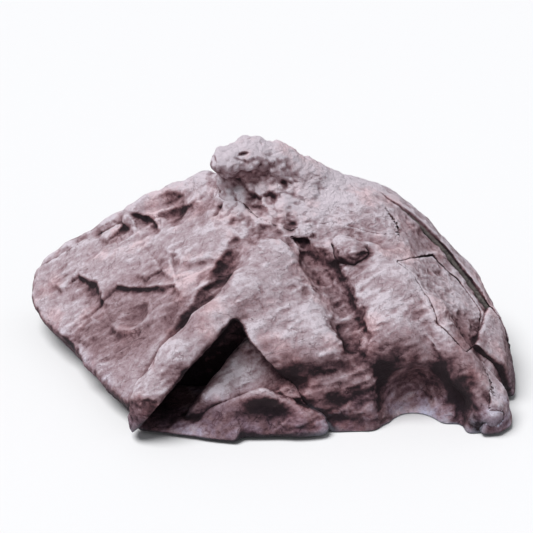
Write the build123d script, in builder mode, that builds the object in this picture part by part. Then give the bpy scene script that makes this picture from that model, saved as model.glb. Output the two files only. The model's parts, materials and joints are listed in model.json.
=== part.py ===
from build123d import *

# Resin cave ornament for a pond or aquarium: a hollow rock made of hand-finished resin castings.
#
# Millimetres, +Z up. The front, with the cave mouth, faces -Y; the lift-off hatch is on the +X flank.
# The origin is on the ground, under the middle of the rock. Two bolted shells stand on a stiffening ring
# with rubber feet; a crest and smaller stones are pinned and bonded on, and one flank slab lifts off.

import os
from math import cos, radians, sin

os.makedirs("parts", exist_ok=True)

# Castings
WALL = 8.0  # thickness of the shells
CREST_WALL = 14.0
BOND_GAP = 0.3  # adhesive line between bonded castings
BLOCK = 900.0  # a box larger than the whole rock

# Hatch
HATCH_THICKNESS = 8.0
HATCH_TRAVEL = 130.0  # room kept clear above the hatch as it is lifted off
HATCH_GAP = 1.6  # open joint around the loose hatch
SEAT_CLEARANCE = 0.2
LEDGE_WIDTH, LEDGE_THICKNESS = 9.0, 6.0  # the seat that the hatch rests on
PEG_RADIUS, PEG_LENGTH, PEG_DEPTH, PEG_CLEARANCE = 3.0, 9.0, 8.7, 0.08  # the depth is of the peg's middle
PEG_END_ROOM = 0.8

# Base
RIM_HEIGHT = 3.0  # underside of the shells above the ground
RING_BOTTOM, RING_WIDTH, RING_THICKNESS = 5.0, 22.0, 6.0
RING_TOP = RING_BOTTOM + RING_THICKNESS
PAD_RADIUS, PAD_EDGE_RADIUS, PAD_RECESS_RADIUS, PAD_RECESS_DEPTH = 8.0, 0.8, 4.6, 2.2

# Fasteners
SCREW_RADIUS, SCREW_HEAD_RADIUS, SCREW_HEAD_HEIGHT, SCREW_LENGTH = 2.0, 4.0, 1.6, 14.0
SCREW_NUT_WIDTH, SCREW_NUT_HEIGHT = 7.0, 3.2
BOLT_RADIUS, BOLT_HEAD_WIDTH, BOLT_HEAD_HEIGHT, BOLT_LENGTH = 2.5, 8.0, 3.5, 20.0
BOLT_NUT_WIDTH, BOLT_NUT_HEIGHT = 8.0, 4.0
WASHER_RADIUS, WASHER_THICKNESS = 5.0, 1.0
HOLE_CLEARANCE = 0.25
PIN_RADIUS, PIN_LENGTH, PIN_CLEARANCE = 2.5, 11.0, 0.05
PIN_HOLE_LENGTH = PIN_LENGTH + 1

# Seam between the shells, and the open slit that carries it on down the right end
FLANGE_WIDTH, FLANGE_THICKNESS = 24.0, 6.0
BOLT_INSET = 23.0  # bolt centres, measured in from the rock's outer faces
SEAM_GAP = 0.3
SLIT_WIDTH = 3.0
RIM_PROUD = 8.0  # how far the rear shell stands out beyond the front shell at the slit
BOLT_STATIONS = [-190, -145, -100, -55, -10, 35, 80]  # along the seam from its middle
STEEPEST_ROOF = 0.3  # a face belongs to the roof when it looks up by at least this share

# A face is (azimuth, tilt, distance from the origin). Azimuth 0 looks to the front and 90 to the right;
# tilt 0 looks straight up, 90 is an upright wall, and more than 90 is undercut.
SEAM = (170.5, 90, 66)
SLIT = (139.5, 90, 128)
LEFT_SLAB = (-56, 41, 122)
FRONT_FACE = (6, 34.5, 105.5)
RIGHT_FLANK = (70, 42, 158)
RIGHT_SIDE = (80, 72, 195)
REAR_SIDE = (100, 72, 206)
LEFT_UNDERCUT = (-60, 125, 115.2)
BACK_WALL = (180, 82, 125)
TOE = (45, 80, 196)
BACK_UPPER = (180, 50, 156)
OUTER_FACES = [
    LEFT_SLAB, LEFT_UNDERCUT, (-80, 115, 171), (-100, 90, 238), (-150, 75, 210),
    FRONT_FACE, (0, 90, 119), (5, 80, 124), TOE,
    (90, 27, 174), (90, 48, 179), (140, 60, 178), (140, 85, 172), BACK_UPPER, BACK_WALL,
]

# The crest is a high knob, with a lower brow that runs on to the right. Knob: its front wall, its top from
# left to right, its overhanging left end and its back
CREST_FACES = [
    (31, 58, 72), (-90, 30, 200), (0, 0, 209), (90, 27, 180), (90, 48, 176),
    (-100, 110, -4), (-60, 70, 106), (180, 50, 160), (180, 90, 80), (0, 180, -118),
]
BROW_FACES = [
    (0, 48, 83), (-40, 60, 74), (90, 27, 177), (90, 48, 178), (-90, 85, 36), (180, 50, 160), (180, 90, 80),
    (0, 180, -118),
]

# Hollows in the front: the grotto under its hood, the shelf beside it, and the recess under the right lobe
GROTTO = [(-106.5, 51.7, 64), (90, 48.6, 34), (180, 90, -45)]
SHELF = [(0, 4, 54), (90, 78, 64), (180, 90, -100), (-90, 90, 40)]
RIGHT_RECESS = [(0, 5, 56), (90, 75, 148), (-90, 80, -84), (180, 90, -72)]
CAVE_MOUTH = [(-106.5, 51.7, 56), (75, 40, -8), (0, 0, 34), (180, 90, -20), (0, 90, 60)]

# The stiffening ring is left open here, along the front from the grotto to the recess
RING_OPENING = [(0, 0, 40), (-90, 90, 60), (90, 90, 166), (180, 90, -60)]

# Swellings of the front: (centre, faces measured from that centre)
CENTRE_LOBE = ((20, -60, 62), [
    (0, 20, 36), (70, 45, 40), (-60, 45, 38), (0, 62, 46), (90, 80, 46), (-90, 80, 44), (180, 60, 44),
    (30, 130, 26), (-30, 130, 26), (0, 180, 18),
])
RIGHT_LOBE = ((98, -50, 70), [
    (0, 15, 36), (60, 50, 38), (-60, 50, 40), (0, 62, 48), (90, 80, 42), (-90, 80, 44), (180, 60, 40),
    (30, 130, 28), (-30, 130, 28), (0, 180, 22),
])
BOSS = ((60, -18, 124), [
    (0, 0, 15), (-60, 50, 14), (60, 50, 14), (-20, 85, 15), (90, 85, 15), (-90, 85, 14), (180, 85, 22),
    (-30, 125, 14), (40, 125, 14),
])

# Bonded stones that fill parts of those hollows or stand proud of the right end. The sill runs out to the
# left in a low toe.
APRON = [(-20, 30, 82), (-115, 62, 24), (90, 48.6, 33.7), (180, 90, -45.3), (0, 90, 101), (0, 180, -3)]
SILL = [
    (-90, 25, 43), (90, 26, 32.5), (-90, 85, 60), (90, 85, 45), (0, 80, 122), (20, 55, 105), (-20, 55, 107),
    (180, 90, -101.3), (0, 180, -3),
]
SILL_TOE = [(-90, 85, 104), (90, 90, -30), (-8, 45, 92), (180, 90, -47), (0, 0, 10), (0, 180, -3)]
FOOT_SLAB = [
    (70, 42, 164), (6, 34.5, 108), (5, 80, 130), (45, 80, 208),
    (80, 72, 203), (-75, 78, -126), (180, 90, -52),
    (0, 10, 62), (0, 180, -3),
]
WEDGE_SLAB = [(80, 72, 205), (70, 42, 166), (-100, 50, -105), (0, 90, 51), SLIT, (0, 180, -4)]

# Outline of the hatch on the right flank: x runs towards the back and y up the slope
HATCH_OUTLINE = [(14, 0), (68, -24), (70, -56), (56, -84), (16, -98), (-22, -90), (-15, -58), (4, -26)]
PEG_SITES = [(-13.5, -74), (64.3, -40)]

# Dowel pins: (face they cross, a point near the crossing)
CREST_PINS = [(FRONT_FACE, (30, 28, 145)), (LEFT_SLAB, (-34, 52, 162))]
BOSS_PINS = [(FRONT_FACE, (60, -14, 112))]
FOOT_PINS = [(TOE, (180, -94, 20))]
WEDGE_PINS = [(RIGHT_SIDE, (198, -20, 18))]
APRON_PINS = [((180, 90, -45), (17, -45, 10)), ((180, 90, -45), (17, -45, 22))]
SILL_PINS = [((180, 90, -101.2), (-28, -101, 16)), ((180, 90, -101.2), (-2, -101, 20))]

# Rubber pads: (wall that the ring runs along, distance along it)
PAD_SITES = [
    (LEFT_UNDERCUT, -20), (LEFT_UNDERCUT, -92), (BACK_WALL, 100), (BACK_WALL, -60),
    (RIGHT_SIDE, 10), (TOE, 64),
]


def facing(face):
    """Unit direction that a face looks towards."""
    around, down = radians(face[0]), radians(face[1])
    return Vector(sin(around) * sin(down), -cos(around) * sin(down), cos(down))


def face_plane(face, offset=0.0):
    """Plane of a face, moved outwards by offset."""
    direction = facing(face)
    return Plane(origin=direction * (face[2] + offset), z_dir=direction)


def crag(faces, offset=0.0, centre=(0, 0, 0)):
    """Convex stone or hollow: a large box trimmed by one plane per face, each moved outwards by offset."""
    with BuildPart() as stone:
        Box(BLOCK, BLOCK, BLOCK)
        for face in faces:
            plane = face_plane(face, offset)
            split(bisect_by=Plane(origin=plane.origin + Vector(*centre), z_dir=plane.z_dir), keep=Keep.BOTTOM)
    return stone.part


def slice_between(face, inner, outer, bottom):
    """Flat slice between two planes parallel to an upright face, above a height."""
    azimuth, tilt, distance = face
    outer_side = (azimuth, tilt, distance + outer)
    inner_side = (azimuth + 180, tilt, -distance - inner)
    return crag([outer_side, inner_side, (0, 180, -bottom)])


def combine(base, joined=(), removed=(), kept=None):
    """Stones joined to base, then others removed, and only the kept region left."""
    with BuildPart() as result:
        add(base)
        for stone in joined:
            add(stone)
        for stone in removed:
            add(stone, mode=Mode.SUBTRACT)
        if kept is not None:
            add(kept, mode=Mode.INTERSECT)
    return result.part


def rods(places, radius, length):
    """Round rods centred on their places."""
    with BuildPart() as group:
        with Locations(*places):
            Cylinder(radius, length)
    return group.part


def crossing(face, point):
    """Plane on a face at the foot of a point, with its normal along the face's direction."""
    plane = face_plane(face)
    foot = Vector(*point) - plane.z_dir * (Vector(*point) - plane.origin).dot(plane.z_dir)
    return Plane(origin=foot, z_dir=plane.z_dir)


def roof_height(x, y, inset):
    """Height of the rock's upper faces above a point, moved inwards by inset."""
    heights = []
    for face in OUTER_FACES:
        direction = facing(face)
        if direction.Z > STEEPEST_ROOF:
            heights.append((face[2] - inset - direction.X * x - direction.Y * y) / direction.Z)
    return min(heights)


# Forms shared by the castings
front_faces = OUTER_FACES + [RIGHT_FLANK, RIGHT_SIDE]
rear_faces = OUTER_FACES + [(RIGHT_FLANK[0], RIGHT_FLANK[1], RIGHT_FLANK[2] + RIM_PROUD), REAR_SIDE]
ground_side = crag([(0, 180, -RIM_HEIGHT)])
hollows = [GROTTO, SHELF, RIGHT_RECESS]
front_region = crag([(SEAM[0], 90, SEAM[2] - SEAM_GAP / 2), SLIT])
rear_cutter = crag([(SEAM[0], 90, SEAM[2] + SEAM_GAP / 2), (SLIT[0], 90, SLIT[2] + SLIT_WIDTH)])
flank_side = crag([RIGHT_FLANK])
lobes = [combine(crag(faces, centre=centre), kept=flank_side) for centre, faces in (CENTRE_LOBE, RIGHT_LOBE)]
lobe_seats = [crag(faces, BOND_GAP, centre) for centre, faces in (CENTRE_LOBE, RIGHT_LOBE)]
rock_seat = crag(front_faces, BOND_GAP)
crest_seat = crag(CREST_FACES, BOND_GAP)
brow_seat = crag(BROW_FACES, BOND_GAP)
hollow_cuts = [crag(faces) for faces in hollows]
hollow_walls = [crag(faces, WALL) for faces in hollows]


def pin_places(sites):
    return [Location(crossing(face, point)) for face, point in sites]


def pin_holes(*site_lists):
    places = [place for sites in site_lists for place in pin_places(sites)]
    return rods(places, PIN_RADIUS + PIN_CLEARANCE, PIN_HOLE_LENGTH)


# Seam bolts cross both flanges at stations along the seam, a fixed depth below the roof
seam_direction = facing(SEAM)
along_seam = Vector(-seam_direction.Y, seam_direction.X, 0) * -1


def seam_places(offset):
    """Places of the seam bolts, moved along their axes by offset."""
    places = []
    for station in BOLT_STATIONS:
        foot = seam_direction * SEAM[2] + along_seam * station
        height = roof_height(foot.X, foot.Y, BOLT_INSET)
        origin = Vector(foot.X, foot.Y, height) + seam_direction * offset
        places.append(Location(Plane(origin=origin, x_dir=along_seam, z_dir=seam_direction)))
    return places


bolt_holes = rods(seam_places(0), BOLT_RADIUS + HOLE_CLEARANCE, 4 * FLANGE_THICKNESS)

# Hatch forms, drawn on the right flank
flank_origin = facing(RIGHT_FLANK) * RIGHT_FLANK[2]


def flank_plane(depth):
    """Plane on the right flank at a depth below its surface, x towards the back and y up the slope."""
    normal = facing(RIGHT_FLANK)
    return Plane(origin=flank_origin - normal * depth, x_dir=(-normal.Y, normal.X, 0), z_dir=normal)


def hatch_prism(margin, top, bottom):
    """The hatch outline grown by margin, between two depths."""
    with BuildPart() as prism:
        with BuildSketch(flank_plane(bottom)):
            with BuildLine():
                Polyline(*HATCH_OUTLINE, close=True)
            make_face()
            if margin:
                offset(amount=margin, kind=Kind.INTERSECTION)
        extrude(amount=bottom - top)
    return prism.part


ledge_top = HATCH_THICKNESS + SEAT_CLEARANCE
ledge_bottom = ledge_top + LEDGE_THICKNESS
hatch_surround = hatch_prism(LEDGE_WIDTH, WALL / 2, ledge_bottom)
hatch_pocket = hatch_prism(HATCH_GAP, -RIM_PROUD, ledge_top)
hand_hole = hatch_prism(-LEDGE_WIDTH, 0, ledge_bottom + WALL)
lift_path = hatch_prism(HATCH_GAP, -HATCH_TRAVEL, 0)
peg_plane = flank_plane(PEG_DEPTH)
peg_places = [
    Location(Plane(origin=peg_plane.from_local_coords((x, y, 0)), z_dir=peg_plane.z_dir))
    for x, y in PEG_SITES
]
blind_peg_holes = rods(peg_places, PEG_RADIUS + PEG_CLEARANCE, PEG_LENGTH + PEG_END_ROOM)
through_peg_holes = rods(peg_places, PEG_RADIUS + PEG_CLEARANCE, 2 * PEG_LENGTH)

# Seam flanges: a frame inside each shell, on its own side of the seam
flange_core = crag(front_faces, -WALL - FLANGE_WIDTH)


def seam_flange(faces, inner, outer):
    """Frame that lines the shell between two planes parallel to the seam."""
    return combine(
        crag(faces, -WALL / 2),
        removed=[flange_core],
        kept=slice_between(SEAM, inner, outer, RING_TOP + BOND_GAP),
    )


# Front shell: slab, hood, lobes, flank and the front half of the seam flange
front_block = crag(front_faces)
front_cavity = combine(crag(front_faces, -WALL), removed=hollow_walls)
cave_mouth = crag(CAVE_MOUTH)
front_flange = seam_flange(front_faces, -FLANGE_THICKNESS, 0)
shell_pin_holes = pin_holes(CREST_PINS, BOSS_PINS, FOOT_PINS, WEDGE_PINS, APRON_PINS)
with BuildPart() as front_shell:
    add(front_block)
    add(lobes)
    add([*hollow_cuts, front_cavity, cave_mouth], mode=Mode.SUBTRACT)
    add([front_flange, hatch_surround])
    add([hatch_pocket, hand_hole, through_peg_holes, bolt_holes, shell_pin_holes], mode=Mode.SUBTRACT)
    add(front_region, mode=Mode.INTERSECT)
    add(ground_side, mode=Mode.INTERSECT)
front_shell.part.label = "front_shell"
export_step(front_shell.part, "parts/front_shell.step")

# Rear shell: plain back walls, with a rim that stands proud of the flank beyond the slit
rear_block = crag(rear_faces)
rear_cavity = crag(rear_faces, -WALL)
rear_flange = seam_flange(rear_faces, 0, FLANGE_THICKNESS)
with BuildPart() as rear_shell:
    add(rear_block)
    add(rear_cavity, mode=Mode.SUBTRACT)
    add(rear_flange)
    add([rear_cutter, bolt_holes], mode=Mode.SUBTRACT)
    add(ground_side, mode=Mode.INTERSECT)
rear_shell.part.label = "rear_shell"
export_step(rear_shell.part, "parts/rear_shell.step")

# Crest: a hollow crag that sits on the top of both shells and keeps clear of the hatch's path
crest_knob, crest_brow = crag(CREST_FACES), crag(BROW_FACES)
crest_cavities = [crag(CREST_FACES, -CREST_WALL), crag(BROW_FACES, -CREST_WALL)]
rear_seat = crag(rear_faces, BOND_GAP)
crest_pin_holes = pin_holes(CREST_PINS)
with BuildPart() as crest_crag:
    add([crest_knob, crest_brow])
    add([*crest_cavities, rock_seat, rear_seat, *lobe_seats, lift_path, crest_pin_holes], mode=Mode.SUBTRACT)
crest_crag.part.label = "crest_crag"
export_step(crest_crag.part, "parts/crest_crag.step")

# Hatch: the loose slab on the right flank, with two locating pegs glued into blind holes
with BuildPart() as flank_hatch:
    with BuildSketch(flank_plane(HATCH_THICKNESS)):
        with BuildLine():
            Polyline(*HATCH_OUTLINE, close=True)
        make_face()
    extrude(amount=HATCH_THICKNESS)
    add(blind_peg_holes, mode=Mode.SUBTRACT)
flank_hatch.part.label = "flank_hatch"
export_step(flank_hatch.part, "parts/flank_hatch.step")

with BuildPart() as hatch_pegs:
    with Locations(*peg_places):
        Cylinder(PEG_RADIUS, PEG_LENGTH)
hatch_pegs.part.label = "hatch_pegs"
export_step(hatch_pegs.part, "parts/hatch_pegs.step")

# Boss: a small stone at the head of the right lobe
boss_centre, boss_faces = BOSS
boss_block = crag(boss_faces, centre=boss_centre)
boss_pin_holes = pin_holes(BOSS_PINS)
with BuildPart() as boss_stone:
    add(boss_block)
    add([rock_seat, crest_seat, brow_seat, *lobe_seats, boss_pin_holes], mode=Mode.SUBTRACT)
boss_stone.part.label = "boss_stone"
export_step(boss_stone.part, "parts/boss_stone.step")

# Slabs that stand proud of the right end: one at its foot, one beside the slit
foot_block = crag(FOOT_SLAB)
foot_pin_holes = pin_holes(FOOT_PINS)
with BuildPart() as foot_slab:
    add(foot_block)
    add([rock_seat, foot_pin_holes], mode=Mode.SUBTRACT)
foot_slab.part.label = "foot_slab"
export_step(foot_slab.part, "parts/foot_slab.step")

wedge_block = crag(WEDGE_SLAB)
wedge_pin_holes = pin_holes(WEDGE_PINS)
with BuildPart() as wedge_slab:
    add(wedge_block)
    add([rock_seat, wedge_pin_holes], mode=Mode.SUBTRACT)
wedge_slab.part.label = "wedge_slab"
export_step(wedge_slab.part, "parts/wedge_slab.step")

# Stones of the cave: the apron stands in the grotto, and the sill lies in front of it
apron_block = crag(APRON)
apron_pin_holes = pin_holes(APRON_PINS, SILL_PINS)
with BuildPart() as cave_apron:
    add(apron_block)
    add(apron_pin_holes, mode=Mode.SUBTRACT)
cave_apron.part.label = "cave_apron"
export_step(cave_apron.part, "parts/cave_apron.step")

sill_block, sill_toe = crag(SILL), crag(SILL_TOE)
apron_seat = crag(APRON, BOND_GAP)
grotto_wall_seat = combine(rock_seat, removed=[crag(GROTTO, -BOND_GAP)])
sill_pin_holes = pin_holes(SILL_PINS)
with BuildPart() as sill_rock:
    add([sill_block, sill_toe])
    add([apron_seat, grotto_wall_seat, sill_pin_holes], mode=Mode.SUBTRACT)
sill_rock.part.label = "sill_rock"
export_step(sill_rock.part, "parts/sill_rock.step")

# Rubber pads stand under the middle of the ring
pad_places = []
for face, along in PAD_SITES:
    direction = facing(face)
    level = Vector(direction.X, direction.Y, 0)
    reach = (face[2] - WALL - BOND_GAP - RING_WIDTH / 2 - direction.Z * RING_BOTTOM) / level.length
    outward = level.normalized()
    pad_places.append(Location(outward * reach + Vector(-outward.Y, outward.X, 0) * along))

# Stiffening ring: bonded inside the foot of both shells, under the seam flanges
ring_lid = (0, 0, RING_TOP + WALL + BOND_GAP)
ring_outside = crag([*front_faces, REAR_SIDE, ring_lid], -WALL - BOND_GAP)
ring_inside = crag(front_faces, -WALL - BOND_GAP - RING_WIDTH)
ring_ground = crag([(0, 180, -RING_BOTTOM)])
hollow_clearances = [crag(hollow, WALL + BOND_GAP) for hollow in hollows]
ring_opening = crag(RING_OPENING)
screw_holes = rods(pad_places, SCREW_RADIUS + HOLE_CLEARANCE, 4 * RING_TOP)
with BuildPart() as base_ring:
    add(ring_outside)
    add([ring_inside, *hollow_clearances, cave_mouth, ring_opening, screw_holes], mode=Mode.SUBTRACT)
    add(ring_ground, mode=Mode.INTERSECT)
base_ring.part.label = "base_ring"
export_step(base_ring.part, "parts/base_ring.step")

# Feet: rubber pads, each held by a cheese-head screw and a nut on the ring
STANDING = (Align.CENTER, Align.CENTER, Align.MIN)
with BuildPart() as foot_pads:
    with Locations(*pad_places):
        Cylinder(PAD_RADIUS, RING_BOTTOM, align=STANDING)
        Cylinder(PAD_RECESS_RADIUS, PAD_RECESS_DEPTH, align=STANDING, mode=Mode.SUBTRACT)
        Cylinder(SCREW_RADIUS + HOLE_CLEARANCE, 2 * RING_BOTTOM, mode=Mode.SUBTRACT)
    rims = foot_pads.edges().filter_by(GeomType.CIRCLE).group_by(SortBy.RADIUS)[-1]
    fillet(rims.group_by(Axis.Z)[0], PAD_EDGE_RADIUS)
foot_pads.part.label = "foot_pads"
export_step(foot_pads.part, "parts/foot_pads.step")

screw_places = [place * Location((0, 0, PAD_RECESS_DEPTH - SCREW_HEAD_HEIGHT)) for place in pad_places]
with BuildPart() as pad_screws:
    with Locations(*screw_places):
        Cylinder(SCREW_HEAD_RADIUS, SCREW_HEAD_HEIGHT, align=STANDING)
        Cylinder(SCREW_RADIUS, SCREW_LENGTH, align=STANDING)
pad_screws.part.label = "pad_screws"
export_step(pad_screws.part, "parts/pad_screws.step")

with BuildPart() as pad_nuts:
    for place in pad_places:
        with BuildSketch(Plane(place).offset(RING_TOP)):
            RegularPolygon(SCREW_NUT_WIDTH / 2, 6, major_radius=False)
            Circle(SCREW_RADIUS + PIN_CLEARANCE, mode=Mode.SUBTRACT)
        extrude(amount=SCREW_NUT_HEIGHT)
pad_nuts.part.label = "pad_nuts"
export_step(pad_nuts.part, "parts/pad_nuts.step")

# Seam hardware: hexagon bolts from the front, a washer on each side and a nut at the rear
washer_face = FLANGE_THICKNESS + WASHER_THICKNESS
with BuildPart() as seam_washers:
    for place in seam_places(-washer_face) + seam_places(FLANGE_THICKNESS):
        with BuildSketch(Plane(place)):
            Circle(WASHER_RADIUS)
            Circle(BOLT_RADIUS + HOLE_CLEARANCE, mode=Mode.SUBTRACT)
        extrude(amount=WASHER_THICKNESS)
seam_washers.part.label = "seam_washers"
export_step(seam_washers.part, "parts/seam_washers.step")

with BuildPart() as seam_bolts:
    for place in seam_places(-washer_face):
        with BuildSketch(Plane(place)):
            RegularPolygon(BOLT_HEAD_WIDTH / 2, 6, major_radius=False)
        extrude(amount=-BOLT_HEAD_HEIGHT)
    with Locations(*seam_places(-washer_face)):
        Cylinder(BOLT_RADIUS, BOLT_LENGTH, align=STANDING)
seam_bolts.part.label = "seam_bolts"
export_step(seam_bolts.part, "parts/seam_bolts.step")

with BuildPart() as seam_nuts:
    for place in seam_places(washer_face):
        with BuildSketch(Plane(place)):
            RegularPolygon(BOLT_NUT_WIDTH / 2, 6, major_radius=False)
            Circle(BOLT_RADIUS + PIN_CLEARANCE, mode=Mode.SUBTRACT)
        extrude(amount=BOLT_NUT_HEIGHT)
seam_nuts.part.label = "seam_nuts"
export_step(seam_nuts.part, "parts/seam_nuts.step")

# Dowel pins across the bonded joints
all_pins = CREST_PINS + BOSS_PINS + FOOT_PINS + WEDGE_PINS + APRON_PINS + SILL_PINS
with BuildPart() as bond_pins:
    with Locations(*pin_places(all_pins)):
        Cylinder(PIN_RADIUS, PIN_LENGTH)
bond_pins.part.label = "bond_pins"
export_step(bond_pins.part, "parts/bond_pins.step")
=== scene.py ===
"""Looks of the resin cave ornament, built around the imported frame.

Each casting is sculpted as a signed field in millimetres (planes for the broad faces, round bars and
ellipsoids for ridges and lobes, the same forms again for gouges), meshed, and then roughened with noise.
"""

import json
import math

import bpy
import numpy as np
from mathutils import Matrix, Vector


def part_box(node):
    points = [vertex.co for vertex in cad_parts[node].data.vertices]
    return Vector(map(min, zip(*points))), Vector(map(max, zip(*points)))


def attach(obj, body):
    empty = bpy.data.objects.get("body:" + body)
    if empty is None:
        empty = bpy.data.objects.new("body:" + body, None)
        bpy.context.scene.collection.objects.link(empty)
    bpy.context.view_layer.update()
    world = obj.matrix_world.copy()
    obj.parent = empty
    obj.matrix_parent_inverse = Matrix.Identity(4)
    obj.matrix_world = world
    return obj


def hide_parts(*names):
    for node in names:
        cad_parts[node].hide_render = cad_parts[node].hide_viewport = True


MM = 0.001

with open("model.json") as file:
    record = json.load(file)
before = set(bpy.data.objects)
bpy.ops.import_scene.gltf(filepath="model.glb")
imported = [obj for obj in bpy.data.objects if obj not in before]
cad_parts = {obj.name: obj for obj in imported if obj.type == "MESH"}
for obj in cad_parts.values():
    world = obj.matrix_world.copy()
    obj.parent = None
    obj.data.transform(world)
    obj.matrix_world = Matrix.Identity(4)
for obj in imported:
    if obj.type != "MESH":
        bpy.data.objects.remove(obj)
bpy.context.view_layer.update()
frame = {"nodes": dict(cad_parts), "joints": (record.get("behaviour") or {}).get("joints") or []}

# ---------------------------------------------------------------------------------------------
# Faces of the rock as (azimuth, tilt, distance in mm). Azimuth 0 looks to the front (-Y) and 90 to
# the right (+X); tilt 0 looks straight up and 90 is upright.
LEFT_SLAB = (-56, 41, 121)
FRONT_FACE = (6, 34.5, 104)
RIGHT_FLANK = (70, 42, 157)
RIGHT_SIDE = (80, 72, 194)
TOE = (45, 80, 195)
FOOT_FRONT = (5, 80, 122)
SEAM = (170.5, 90, 66)
SLIT = (139.5, 90, 129.5)
LEFT_FACES = [LEFT_SLAB, (-60, 124, 116), (-80, 118, 168), (-100, 90, 238), (-150, 75, 215)]
BACK_FACES = [
    (90, 27, 175), (90, 48, 182), (140, 60, 184), (140, 85, 174), (180, 50, 155), (180, 82, 124),
]
LOWER_WALL = (0, 68, 88)
MAIN_FACES = LEFT_FACES + BACK_FACES + [FRONT_FACE, RIGHT_FLANK, RIGHT_SIDE, TOE, LOWER_WALL]
LEFT_MASS = LEFT_FACES + BACK_FACES + [FRONT_FACE, (0, 90, 118), (90, 90, -66)]
FOOT_MASS = [FRONT_FACE, RIGHT_FLANK, RIGHT_SIDE, TOE, FOOT_FRONT, (-80, 74, -131), (180, 90, 10)]
CENTRE_MASS = [
    (6, 34.5, 114), (-75, 60, 84), (100, 60, 71), (0, 62, 117), (5, 85, 104), (10, 130, 47),
    (180, 90, 0),
]
RIGHT_MASS = [
    (0, 30, 112), (0, 64, 113), RIGHT_FLANK, RIGHT_SIDE, (40, 55, 151), (-47, 60, 36), (0, 88, 92),
    (0, 125, 45), (180, 90, 0),
]
LOWER_BULGE = [(2, 76, 106), (0, 35, 92), (75, 82, 110), (-55, 70, 50), (180, 90, 20)]
REAR_FACES = LEFT_FACES + BACK_FACES + [FRONT_FACE, (70, 42, 168), (100, 80, 205)]
CREST_FACES = [
    (0, 48, 80), (-40, 60, 71), (90, 14, 168), (90, 24, 174), (90, 48, 180), (70, 42, 160), (-90, 85, 34),
    (180, 50, 158), (180, 90, 77), (0, 180, -117),
]
KNOB_FACES = [
    (-23, 66, 48), (14, 58, 66), (-90, 30, 196), (0, 0, 202), (90, 19, 178), (90, 33, 164), (90, 75, 76),
    (-100, 110, 0), (-60, 70, 105), (180, 50, 159), (180, 90, 77), (0, 180, -117),
]
WALL = 8.0  # thickness of the shells
INNER_FACES = [(a, t, d - WALL) for a, t, d in MAIN_FACES]

# Ridges and gouges as chains of (x, y, z, radius)
DIAGONAL_RIDGE = [
    (-105, -114, 13, 14), (-100, -111, 34, 16), (-78, -92, 57, 18), (-52, -69, 74, 21), (-25, -41, 88, 25),
    (2, -8, 96, 29),
]
LIT_RIDGE = [
    (76, -12, 113, 12), (104, -30, 99, 13), (128, -46, 80, 13), (158, -84, 43, 12), (178, -104, 15, 11),
]
LEFT_GULLY = [
    (-33, -4, 127, 3), (-38, -16, 120, 5), (-46, -34, 108, 8), (-62, -56, 92, 9), (-76, -65, 79, 9),
    (-92, -77, 65, 7), (-110, -92, 44, 4),
]
CENTRE_GULLY = [
    (8, 2, 132, 3), (26, -4, 123, 9), (43, -24, 108, 11), (57, -52, 92, 9), (69, -80, 77, 6),
    (76, -98, 64, 3),
]
TOP_LUMPS = [(-128, 88, 110, 8), (-108, 88, 123, 10), (-84, 82, 133, 12), (-56, 76, 145, 14)]
SLAB_GRAIN, FRONT_GRAIN = (0.84, -0.15, 0.52), (0.87, 0.44, 0.22)
CREST_LUMPS = [(-40, 35, 184, 14), (-20, 43, 187, 15), (4, 46, 180, 14), (30, 52, 164, 13), (60, 58, 148, 12)]
HOLLOWS = [((-97, 59, 138), (17, 15, 16)), ((-88, 66, 151), (10, 8, 6)), ((-125, -29, 74), (16, 16, 16))]
# Pits under the crest's knob, also darkened as painted shade: (centre, radius, depth)
PITS = [
    ((-20, 22, 152), 9, 3.5), ((-10, 16, 145), 8, 2.2), ((-3, 22, 153), 6, 3.0), ((14, 10, 137), 8, 1.8),
    ((8, 30, 163), 6, 3.0),
]
# Patches of tone darker or lighter than their surroundings, partly the paint's own and partly painted
# light and shade: (centre, radii, change of tone)
PAINT_AND_SHADE_PATCHES = [
    ((-10, -116, 20), (62, 22, 26), -0.24), ((150, -80, 40), (30, 30, 30), -0.24),
    ((106, -88, 74), (40, 22, 22), -0.20), ((-120, -20, 62), (78, 62, 48), -0.25),
    ((60, -100, 22), (44, 20, 24), -0.10), ((-40, -30, 106), (12, 34, 20), -0.18),
    ((-70, -62, 84), (34, 36, 30), -0.24), ((48, -40, 98), (18, 46, 36), -0.06),
    ((-90, 62, 128), (26, 10, 10), -0.08), ((-92, 12, 96), (26, 14, 12), -0.14),
    ((-170, -24, 14), (60, 60, 24), 0.10), ((10, 30, 175), (80, 60, 56), 0.36),
    ((20, -102, 48), (30, 16, 16), -0.22), ((158, -56, 56), (26, 46, 30), -0.32),
    ((60, 40, 150), (70, 40, 26), 0.04), ((172, -8, 84), (36, 60, 44), 0.06),
    ((-130, 64, 108), (60, 40, 26), 0.04), ((40, -66, 86), (30, 24, 22), 0.10),
    ((84, -58, 94), (30, 22, 14), 0.16), ((-50, -70, 36), (56, 40, 52), 0.26),
    ((0, -84, 40), (40, 30, 26), 0.04), ((-28, -48, 66), (18, 18, 26), 0.22),
    ((117, -76, 20), (34, 20, 34), 0.30), ((68, -14, 120), (20, 20, 16), -0.24),
    ((-60, 70, 160), (50, 44, 30), 0.26), ((190, -100, 20), (26, 24, 22), 0.20),
]


def direction(face):
    """Unit direction that a face looks towards."""
    around, down = math.radians(face[0]), math.radians(face[1])
    return math.sin(around) * math.sin(down), -math.cos(around) * math.sin(down), math.cos(down)


def smooth_min(a, b, blend):
    meet = np.maximum(blend - np.abs(a - b), 0) / blend
    return np.minimum(a, b) - meet * meet * blend / 4


def smooth_max(a, b, blend):
    return -smooth_min(-a, -b, blend)


def plane(points, face):
    nx, ny, nz = direction(face)
    return nx * points[0] + ny * points[1] + nz * points[2] - face[2]


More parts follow.
